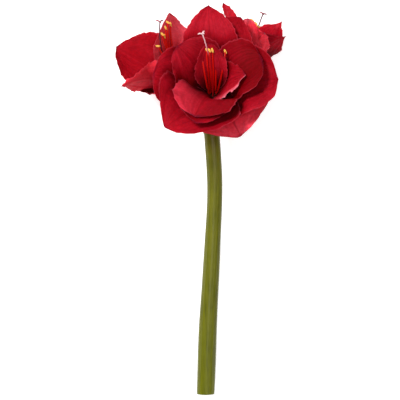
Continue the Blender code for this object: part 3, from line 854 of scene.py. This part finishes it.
def petalMaterial(name, look, isInner):
    # veins run from root to tip in the petal's own UV, the throat is painted darker as shade, the margin
    # paler
    material, tree, shader = newMaterial(name)
    uv = addNode(tree, "UVMap", uv_map="UVMap").outputs[0]
    place = objectPlace(tree)
    split = addPattern(tree, uv, "SeparateXYZ")
    across = addMath(tree, addMath(tree, split["X"], "MULTIPLY_ADD", 2, -1), "ABSOLUTE")
    vein = addStreaks(tree, uv, (52, 1.5, 1), Detail=4, Roughness=0.62, Distortion=0.3)
    hair = addStreaks(tree, uv, (190, 5, 1), Detail=3, Roughness=0.6)
    cloud = addPattern(tree, place, "TexNoise", Scale=34, Detail=4, Roughness=0.5)
    crepe = addPattern(tree, place, "TexNoise", Scale=260, Detail=4, Roughness=0.62)
    velvet = addPattern(tree, place, "TexNoise", Scale=1500, Detail=1)
    body = look["face"] if isInner else look["back"]
    pale = tuple(min(1, c * 1.22 + 0.004) for c in body)
    dark = tuple(c * 0.64 for c in body)
    cloudTint, ribTint = (look["deep"], look["deep"]) if isInner else (dark, pale)
    colour = addMasked(tree, vein["Fac"], (0.34, 0.0), (0.64, 1.0), dark, body)
    colour = addMasked(tree, hair["Fac"], (0.40, 0.0), (0.72, 0.55), colour, pale)
    colour = addMasked(tree, cloud["Fac"], (0.36, 0.0), (0.70, 0.5), colour, cloudTint)
    # painted light and shade: the stored tone goes from deep shade below 0 to painted light at 1 and a pink
    # painted highlight at 2
    tone = storedValue(tree, "tone")
    for tint, operation, value in (("deep", "MULTIPLY", -1), ("paintedLitRed", "MULTIPLY", 1),
                                   ("paintedLitPink", "SUBTRACT", 1)):
        colour = addMix(tree, addMath(tree, tone, operation, value, clamp=True), colour, look[tint])
    colour = addMasked(tree, crepe["Fac"], (0.34, 1.0), (0.62, 0.0), colour, petalLook["crepe"], "MULTIPLY")
    if isInner:
        # painted shade: the throat colour takes over where the stored daylight is low
        colour = addMix(tree, storedValue(tree, "daylight"), look["throat"], colour)
    else:
        colour = addMasked(tree, split["Y"], (0.02, 1.0), (0.30, 0.0), colour, petalLook["root"])
    colour = addMasked(tree, across, (0.0, 0.45), (0.055, 0.0), colour, ribTint)
    colour = addMasked(tree, across, (0.95, 0.0), (0.995, 0.45), colour, look["margin"])
    colour = addMasked(tree, split["Y"], (0.955, 0.0), (0.998, 0.75), colour, petalLook["tip"])
    dullness = [(0.3, petalLook["roughness"] + 0.08), (0.7, petalLook["roughness"])]
    height = addMix(tree, 0.30, vein["Color"], hair["Color"])
    height = addMix(tree, 0.35, height, crepe["Color"])
    height = addMix(tree, 0.15, height, velvet["Color"])
    setSockets(shader, {
        "Base Color": colour, "Roughness": addRamp(tree, vein["Fac"], dullness),
        "Specular IOR Level": 0.06, "Specular Tint": (1.0, 0.55, 0.60, 1), "Subsurface Weight": 0.22,
        "Subsurface Radius": (1.0, 0.10, 0.12), "Subsurface Scale": 0.003,
        "Normal": addBump(tree, height, 0.5, 0.0006)})
    return material


def marginMaterial(name, look):
    material, tree, shader = newMaterial(name)
    cloud = addPattern(tree, objectPlace(tree), "TexNoise", Scale=160, Detail=3)["Fac"]
    setSockets(shader, {"Base Color": addMix(tree, cloud, look["margin"], look["face"]), "Roughness": 0.5})
    return material


# Tube under each bloom, ovary and stalk
stalkShape = {"radius": 0.0043, "spread": 0.0055, "ovaryRadius": 0.0070, "ovaryLength": 0.016, "gap": 0.0003,
              "sunk": 0.0014, "into": 0.0001, "footLess": 0.0002, "straight": 0.001, "pulls": (0.38, 0.42),
              "points": 46, "sides": 28, "lobeDepth": 0.045}
tubeShape = {"profile": [(-0.014, 0.0070), (-0.008, 0.0078), (0.000, 0.0098), (0.006, 0.0108),
                         (0.0095, 0.0106), (0.0114, 0.0080), (0.012, 0.0040)],
             "secondRing": -0.0134, "closed": 0.02, "sides": 36, "drop": 0.014, "rise": 0.012,
             "lobeDepth": 0.03}
stalkLook = {**stemLook, "light": (0.30, 0.35, 0.09), "dark": (0.17, 0.21, 0.035), "top": (0.30, 0.35, 0.09),
             "foot": (0.30, 0.35, 0.09), "roughness": 0.40}
tubeLook = {"foot": (0.24, 0.22, 0.05), "blush": (0.30, 0.07, 0.025), "cloud": (0.20, 0.03, 0.02)}


def makeStalk(name, bloom):
    turn = math.radians(bloom["stalkTurn"])
    foot = np.array([stalkShape["spread"] * math.cos(turn), stalkShape["gap"] - stemShape["crownTop"],
                     stalkShape["spread"] * math.sin(turn)])
    head = bloomPoint(bloom, (0, 0, stalkShape["into"] - tubeShape["drop"]))
    forward = unit(bloom["facing"])
    reach = np.linalg.norm(head - foot)
    low, high = stalkShape["pulls"]
    footEnd, headEnd = foot + (0, stalkShape["straight"], 0), head - forward * stalkShape["straight"]
    points = bezierPoints([footEnd, footEnd + (0, reach * low, 0), headEnd - forward * reach * high, headEnd],
                          stalkShape["points"])
    points = np.vstack([foot - (0, stalkShape["sunk"], 0), points, head])  # the foot is grown into the crown
    run = np.concatenate([[0], np.cumsum(np.linalg.norm(np.diff(points, axis=0), axis=1))])
    left = (run[-1] - run) / stalkShape["ovaryLength"]
    radii = stalkShape["radius"] + (stalkShape["ovaryRadius"] - stalkShape["radius"]) * ease((1 - left) / 0.7)
    radii[0] -= stalkShape["footLess"]
    piece = sweep(name, points, radii, stalkShape["sides"])
    # three soft lobes on the ovary
    places = vertexArray(piece)
    nearest = np.argmin(np.linalg.norm(places[:, None, :] - points[None, :, :], axis=2), axis=1)
    right, up, _ = bloomFrame(bloom)
    radial = places - points[nearest]
    turn = np.arctan2(radial @ up, radial @ right)
    swell = ease((1 - left[nearest]) / 0.5) * (1 - ease((0.12 - left[nearest]) / 0.12))
    setVertices(piece, places + radial * (stalkShape["lobeDepth"] * np.cos(3 * turn) * swell)[:, None])
    return piece


def makeTube(name, bloom):
    # a ring at the foot of the bloom is pulled forward and widened, then closed in the throat
    profile, closed = tubeShape["profile"], tubeShape["closed"]
    first, final = profile[0], profile[-1]
    rings = [(at, float(through([p[0] for p in profile], [p[1] for p in profile], at)))
             for at in np.concatenate([[first[0]], np.linspace(tubeShape["secondRing"], final[0], 22)])]
    rings = [(first[0], first[1] * closed)] + rings + [(final[0], final[1] * closed)]
    bpy.ops.object.select_all(action="DESELECT")
    bpy.ops.mesh.primitive_circle_add(vertices=tubeShape["sides"], radius=rings[0][1],
                                      location=(0, 0, rings[0][0]))
    piece = bpy.context.object
    piece.name = name
    bpy.ops.object.transform_apply()
    startEditing()
    for last, ring in zip(rings, rings[1:]):
        grow = ring[1] / last[1]
        pullRing((0, 0, ring[0] - last[0]), (grow, grow, 1), (0, 0, ring[0]))
    bpy.ops.mesh.edge_face_add()
    bpy.ops.mesh.select_all(action="DESELECT")
    bpy.ops.mesh.select_non_manifold(extend=False)
    bpy.ops.mesh.edge_face_add()
    bpy.ops.mesh.select_all(action="SELECT")
    closeEditing()
    # six soft lobes, where the petals part
    places = vertexArray(piece)
    turn, swell = np.arctan2(places[:, 1], places[:, 0]), ease((places[:, 2] + 0.010) / 0.012)
    places[:, :2] *= (1 + tubeShape["lobeDepth"] * np.cos(6 * turn) * swell)[:, None]
    setVertices(piece, np.array(bloom["throat"]) + places @ bloomFrame(bloom))
    share = (places[:, 2] + tubeShape["drop"]) / (tubeShape["drop"] + tubeShape["rise"])
    storeValues(piece, "along", np.clip(share, 0, 1))
    return piece


def tubeMaterial(name, look):
    # green at the ovary, red where the petals part, painted throat shade at its top
    material, tree, shader = newMaterial(name)
    cloud = addPattern(tree, objectPlace(tree), "TexNoise", Scale=260, Detail=4)["Fac"]
    colour = addRamp(tree, storedValue(tree, "along"), [
        (0.0, tubeLook["foot"]), (0.30, tubeLook["blush"]), (0.6, look["back"]), (0.91, look["back"]),
        (0.98, look["throat"])])
    colour = addMasked(tree, cloud, (0.3, 0.0), (0.8, 0.4), colour, tubeLook["cloud"])
    setSockets(shader, {"Base Color": colour, "Roughness": 0.7, "Specular IOR Level": 0.04,
                        "Normal": addBump(tree, cloud, 0.3, 0.0002)})
    return material


# Stamens and pistil
stamenShape = {"filament": 0.00125, "taper": (1.15, 0.70), "sides": 10, "antherLength": 0.0062,
               "antherWidth": 0.0030, "points": 22, "firstTurn": 175, "turnStep": 34, "rootReach": 0.0045,
               "rootDrop": 0.004, "sideways": 0.012, "antherFlat": 0.8, "furrow": 0.34, "furrowWidth": 0.30,
               "bean": 0.0005, "colourReach": 0.08}
pistilShape = {"style": 0.0011, "taper": (0.95, 0.68), "lobe": 0.0056, "sides": 12, "points": 34,
               "rootLow": 0.0018, "lobeInset": 0.0008, "colourPast": 0.003,
               "lobeBend": [(0, 0), (0.35, 0.15), (0.55, 0.6), (0.30, 1)],  # ahead and aside
               "lobeRadii": ([0, 0.5, 0.8, 0.95, 1], [0.85, 0.84, 0.80, 0.62, 0.3])}
stamenLook = {"foot": (0.50, 0.0, 0.0), "tip": (0.80, 0.010, 0.006), "anther": (0.98, 0.50, 0.06),
              "pollen": (1.0, 0.70, 0.20), "seam": (0.62, 0.20, 0.02), "grain": (0.80, 0.72, 0.72)}
pistilLook = {"foot": (0.40, 0.002, 0.004), "shaded": (0.13, 0.012, 0.025), "shadedTip": (0.45, 0.14, 0.17),
              "middle": (0.58, 0.006, 0.010), "tip": (0.80, 0.32, 0.38), "lobe": (0.94, 0.66, 0.68)}


def filamentLine(bloom, i, count):
    turn = math.radians(stamenShape["firstTurn"] - stamenShape["turnStep"] * i)
    root = np.array([stamenShape["rootReach"] * math.cos(turn), stamenShape["rootReach"] * math.sin(turn),
                     tubeShape["rise"] - stamenShape["rootDrop"]])
    tip = np.array(bloom["stamens"][i])
    bulge = bloom.get("bulge", 0) if abs(tip[0]) > stamenShape["sideways"] else 0
    bend = [root, root * (0.9, 0.9, 0) + tip * (0.25, 0.10, 0.45),
            root * (0.3, 0.3, 0) + tip * (0.8, 0.6 - bulge, 0.85 + 0.4 * bulge), tip]
    return bezierPoints([bloomPoint(bloom, b) for b in bend], count)


def alongBloom(piece, bloom, reach):
    forward = bloomFrame(bloom)[2]
    share = (vertexArray(piece) - np.array(bloom["throat"])) @ forward / reach
    storeValues(piece, "along", np.clip(share, 0, 1))


def makeFilaments(name, bloom):
    pieces = []
    for i in range(len(bloom["stamens"])):
        line = filamentLine(bloom, i, stamenShape["points"])
        radii = stamenShape["filament"] * np.linspace(*stamenShape["taper"], len(line))
        pieces.append(sweep(name + str(i), line, radii, stamenShape["sides"]))
    piece = joinPieces(name, pieces)
    alongBloom(piece, bloom, stamenShape["colourReach"])
    return piece


def makeAnther(bloom, i):
    width, length = stamenShape["antherWidth"] / 2, stamenShape["antherLength"] / 2
    tilt = math.radians(bloom["antherTurns"][i])
    across = np.array([math.cos(tilt), math.sin(tilt), 0])
    third = unit(np.cross(across, bloomFrame(bloom)[2]))
    way = np.cross(third, across)
    bpy.ops.object.select_all(action="DESELECT")
    bpy.ops.mesh.primitive_uv_sphere_add(segments=20, ring_count=14, radius=1)
    piece = bpy.context.object
    startEditing()
    bpy.ops.transform.resize(value=(width, width * stamenShape["antherFlat"], length))
    bpy.ops.object.mode_set(mode="OBJECT")
    # a furrow down each side parts the two pollen sacs, and the grain bends like a bean
    places = vertexArray(piece)
    angle = np.arctan2(places[:, 1], places[:, 0])
    share = places[:, 2] / length
    furrow = np.exp(-((np.abs(angle) - math.pi / 2) / stamenShape["furrowWidth"])**2)
    places[:, :2] *= (1 - stamenShape["furrow"] * furrow * (1 - share**4))[:, None]
    places[:, 1] += stamenShape["bean"] * (share**2 - 0.5) * (1 if i % 2 else -1)
    setVertices(piece, filamentLine(bloom, i, 9)[-1] + places @ np.array([third, way, across]))
    return piece


def makeAnthers(name, bloom):
    piece = joinPieces(name, [makeAnther(bloom, i) for i in range(len(bloom["stamens"]))])
    setActive(piece)
    startEditing()
    closeEditing()
    return piece


def makePistil(name, bloom):
    side, up, forward = bloom["style"]
    root = (0, -pistilShape["rootLow"], tubeShape["rise"] + stalkShape["gap"])
    low, high = bloom.get("styleBend", ((side * 0.15, -0.004), (side * 0.65, up * 0.30)))
    bend = [root, (*low, forward * 0.45), (*high, forward * 0.80), (side, up, forward)]
    bend = [bloomPoint(bloom, b) for b in bend]
    line, coarse = bezierPoints(bend, pistilShape["points"]), bezierPoints(bend, 9)
    radii = pistilShape["style"] * np.linspace(*pistilShape["taper"], len(line))
    pieces = [sweep(name, line, radii, pistilShape["sides"])]
    way = unit(coarse[-1] - coarse[-2])
    first = unit(np.cross(way, (0.2, 0.3, 0.9)))
    second = np.cross(way, first)
    reach = pistilShape["lobe"]
    start = line[-1] - way * pistilShape["lobeInset"]
    radii = pistilShape["style"] * np.interp(np.linspace(0, 1, 12), *pistilShape["lobeRadii"])
    for k in range(3):
        a = math.radians(30 + 120 * k)
        out = math.cos(a) * first + math.sin(a) * second
        lobe = [start + way * reach * ahead + out * reach * aside for ahead, aside in pistilShape["lobeBend"]]
        pieces.append(sweep(name + str(k), bezierPoints(lobe, len(radii)), radii, pistilShape["sides"]))
    piece = joinPieces(name, pieces)
    alongBloom(piece, bloom, forward + pistilShape["colourPast"])
    return piece


def strandMaterial(name, stops, roughness):
    # colour runs along the strand
    material, tree, shader = newMaterial(name)
    grain = addPattern(tree, objectPlace(tree), "TexNoise", Scale=900, Detail=3)["Fac"]
    colour = addRamp(tree, storedValue(tree, "along"), stops)
    colour = addMasked(tree, grain, (0.3, 0.0), (0.8, 1.0), colour, stamenLook["grain"], "MULTIPLY")
    setSockets(shader, {
        "Base Color": colour, "Roughness": roughness, "Specular IOR Level": 0.2, "Subsurface Weight": 0.1,
        "Subsurface Radius": (0.003, 0.001, 0.001), "Subsurface Scale": 0.3,
        "Normal": addBump(tree, grain, 0.2, 0.0001)})
    return material


def antherMaterial(name, look):
    material, tree, shader = newMaterial(name)
    place = objectPlace(tree)
    grains = addPattern(tree, place, "TexVoronoi", Scale=2600)["Distance"]
    cloud = addPattern(tree, place, "TexNoise", Scale=420, Detail=3)["Fac"]
    colour = addRamp(tree, grains, [(0.1, look["pollen"]), (0.6, look["anther"]), (0.95, look["seam"])])
    colour = addMasked(tree, cloud, (0.4, 0.0), (0.8, 0.6), colour, look["anther"])
    setSockets(shader, {"Base Color": colour, "Roughness": 0.85,
                        "Normal": addBump(tree, grains, 0.7, 0.0002)})
    return material


stalkGreen = stemMaterial("stalkGreen", stalkLook)
antherYellow = antherMaterial("antherYellow", stamenLook)
filamentRed = strandMaterial("filamentRed", [(0.1, stamenLook["foot"]), (0.95, stamenLook["tip"])], 0.35)
pistilPink = strandMaterial("pistilPink", [
    (0.15, pistilLook["foot"]), (0.74, pistilLook["middle"]), (0.84, pistilLook["tip"]),
    (0.97, pistilLook["lobe"])], 0.4)
pistilDark = strandMaterial("pistilDark", [
    (0.15, pistilLook["foot"]), (0.70, pistilLook["shaded"]), (0.96, pistilLook["shaded"]),
    (0.99, pistilLook["shadedTip"])], 0.4)
for side, bloom in blooms.items():
    look = petalLook[side]
    petalSkin = [petalMaterial(side + "PetalFace", look, True),
                 petalMaterial(side + "PetalBack", look, False), marginMaterial(side + "PetalMargin", look)]
    tube = makeTube(side + "Tube", bloom)
    finishPiece(tube, [tubeMaterial(side + "TubeSkin", look)], [side + "_bloom"])
    for (name, values), grid, gap in zip(bloom["petals"].items(), *settlePetals(bloom)):
        petal = makePetal(side + "Petal" + name, grid, gap, values)
        finishPiece(petal, petalSkin, [side + "_bloom"], smooth=50)
    finishPiece(makeFilaments(side + "Filaments", bloom), [filamentRed], [side + "_bloom"])
    finishPiece(makeAnthers(side + "Anthers", bloom), [antherYellow], [side + "_bloom"])
    finishPiece(makePistil(side + "Pistil", bloom), [pistilPink if side == "front" else pistilDark],
                [side + "_pistil"])
    finishPiece(makeStalk(side + "Stalk", bloom), [stalkGreen], [side + "_pedicel"])
    print(side, "bloom done,", len(bloom["petals"]), "petals")


# Floor, light and camera
floorSet = {"size": 6.0, "level": -0.0002, "tone": 0.86, "grain": 0.005, "glow": 0.60}
lightSet = {
    "key": dict(place=(-1.3, 1.1, 1.9), size=0.75, power=56, gloss=1),
    "fill": dict(place=(1.3, -1.2, 1.9), size=1.2, power=12, gloss=0),
    "front": dict(place=(0.0, -0.2, 2.9), size=1.2, power=26, gloss=0),
    "sky": 0.15,
    "aim": (0, 0.06, 0.05),
}
cameraSet = {"distance": 2.2, "frame": 0.52, "aim": (-0.01495, -0.0936, 0)}

bpy.ops.object.select_all(action="DESELECT")
bpy.ops.mesh.primitive_plane_add(size=floorSet["size"], location=(0, 0, floorSet["level"]))
floor = bpy.context.object
floor.name = "floor"
material, tree, shader = newMaterial("paleFloor")
grain = addPattern(tree, objectPlace(tree), "TexNoise", Scale=30, Detail=2)["Fac"]
tone, less = floorSet["tone"], floorSet["grain"]
setSockets(shader, {"Base Color": addRamp(tree, grain, [(0.3, tone - less), (0.7, tone + less)]),
                    "Roughness": 0.9, "Emission Color": (1, 1, 1, 1), "Emission Strength": floorSet["glow"]})
floor.data.materials.append(material)

centre = Vector(lightSet["aim"])
for name in ("key", "fill", "front"):
    values = lightSet[name]
    bpy.ops.object.light_add(type="AREA", location=values["place"])
    lamp = bpy.context.object
    lamp.name = name + "Light"
    lamp.data.shape = "DISK"
    lamp.data.size = values["size"]
    lamp.data.energy = values["power"]
    lamp.data.specular_factor = values["gloss"]
    lamp.rotation_euler = (centre - lamp.location).to_track_quat("-Z", "Y").to_euler()
world = bpy.data.worlds.new("softSky")
world.use_nodes = True
setSockets(world.node_tree.nodes["Background"], {"Color": (1, 1, 1, 1), "Strength": lightSet["sky"]})
bpy.context.scene.world = world

turned = layDown.to_3x3()
aim = layDown @ Vector(cameraSet["aim"])
bpy.ops.object.camera_add(location=aim + turned @ Vector((0, 0, cameraSet["distance"])))
camera = bpy.context.object
camera.name = "camera"
camera.rotation_euler = turned.to_euler()
camera.data.angle = 2 * math.atan(cameraSet["frame"] / 2 / cameraSet["distance"])
bpy.context.scene.camera = camera
bpy.context.scene.view_settings.view_transform = "Standard"
bpy.context.scene.view_settings.look = "None"
print("floor, light and camera done")
